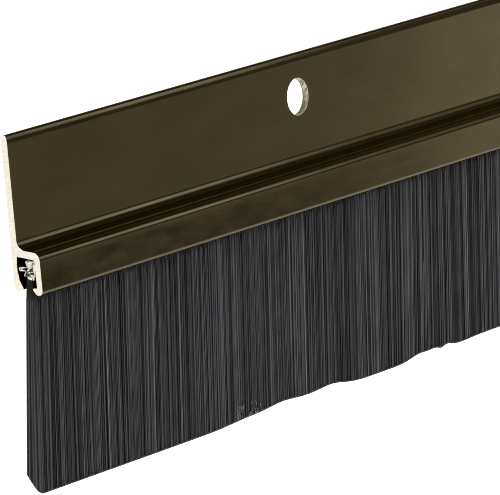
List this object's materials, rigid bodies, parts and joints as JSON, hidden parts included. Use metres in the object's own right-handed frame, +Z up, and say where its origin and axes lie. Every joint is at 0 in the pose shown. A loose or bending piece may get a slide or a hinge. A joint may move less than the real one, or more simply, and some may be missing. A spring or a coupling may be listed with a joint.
{
  "type": "brush door sweep",
  "caption": "Brush door sweep: a screw-on bronze aluminium holder with a strip brush that slides in its channel and bends over the threshold.",
  "frame": {"origin": "centre of the flange's back face, at mid length, on the line of screw holes", "axes": "+X along the door, -Y towards the room, +Y into the door's face, +Z up"},
  "size_m": [0.9144, 0.0084, 0.0716],
  "materials": {
    "bronze_anodised": "dark bronze anodised extrusion, satin, with bare sawn ends and punched holes",
    "galvanised_steel": "bright zinc-coated strip, crimped",
    "steel_wire": "drawn wire",
    "filament": "charcoal black synthetic filaments, semi-matte"
  },
  "bodies": {
    "holder": {"holder": "bronze_anodised"},
    "strip_brush": {"backing_channel": "galvanised_steel", "core_wire": "steel_wire", "filament_roots": "filament"},
    "bristles": {"bristles": "filament"}
  },
  "joints": [
    {"name": "strip_slide", "type": "slide", "parent": "holder", "child": "strip_brush", "axis": [1, 0, 0], "range_m": [-0.9, 0.9]},
    {"name": "bristle_bend", "type": "hinge", "parent": "strip_brush", "child": "bristles", "pos_m": [0, -0.00336, -0.0242], "axis": [1, 0, 0], "range_deg": [-40, 40], "stiffness_Nm_per_rad": 0.5}
  ]
}
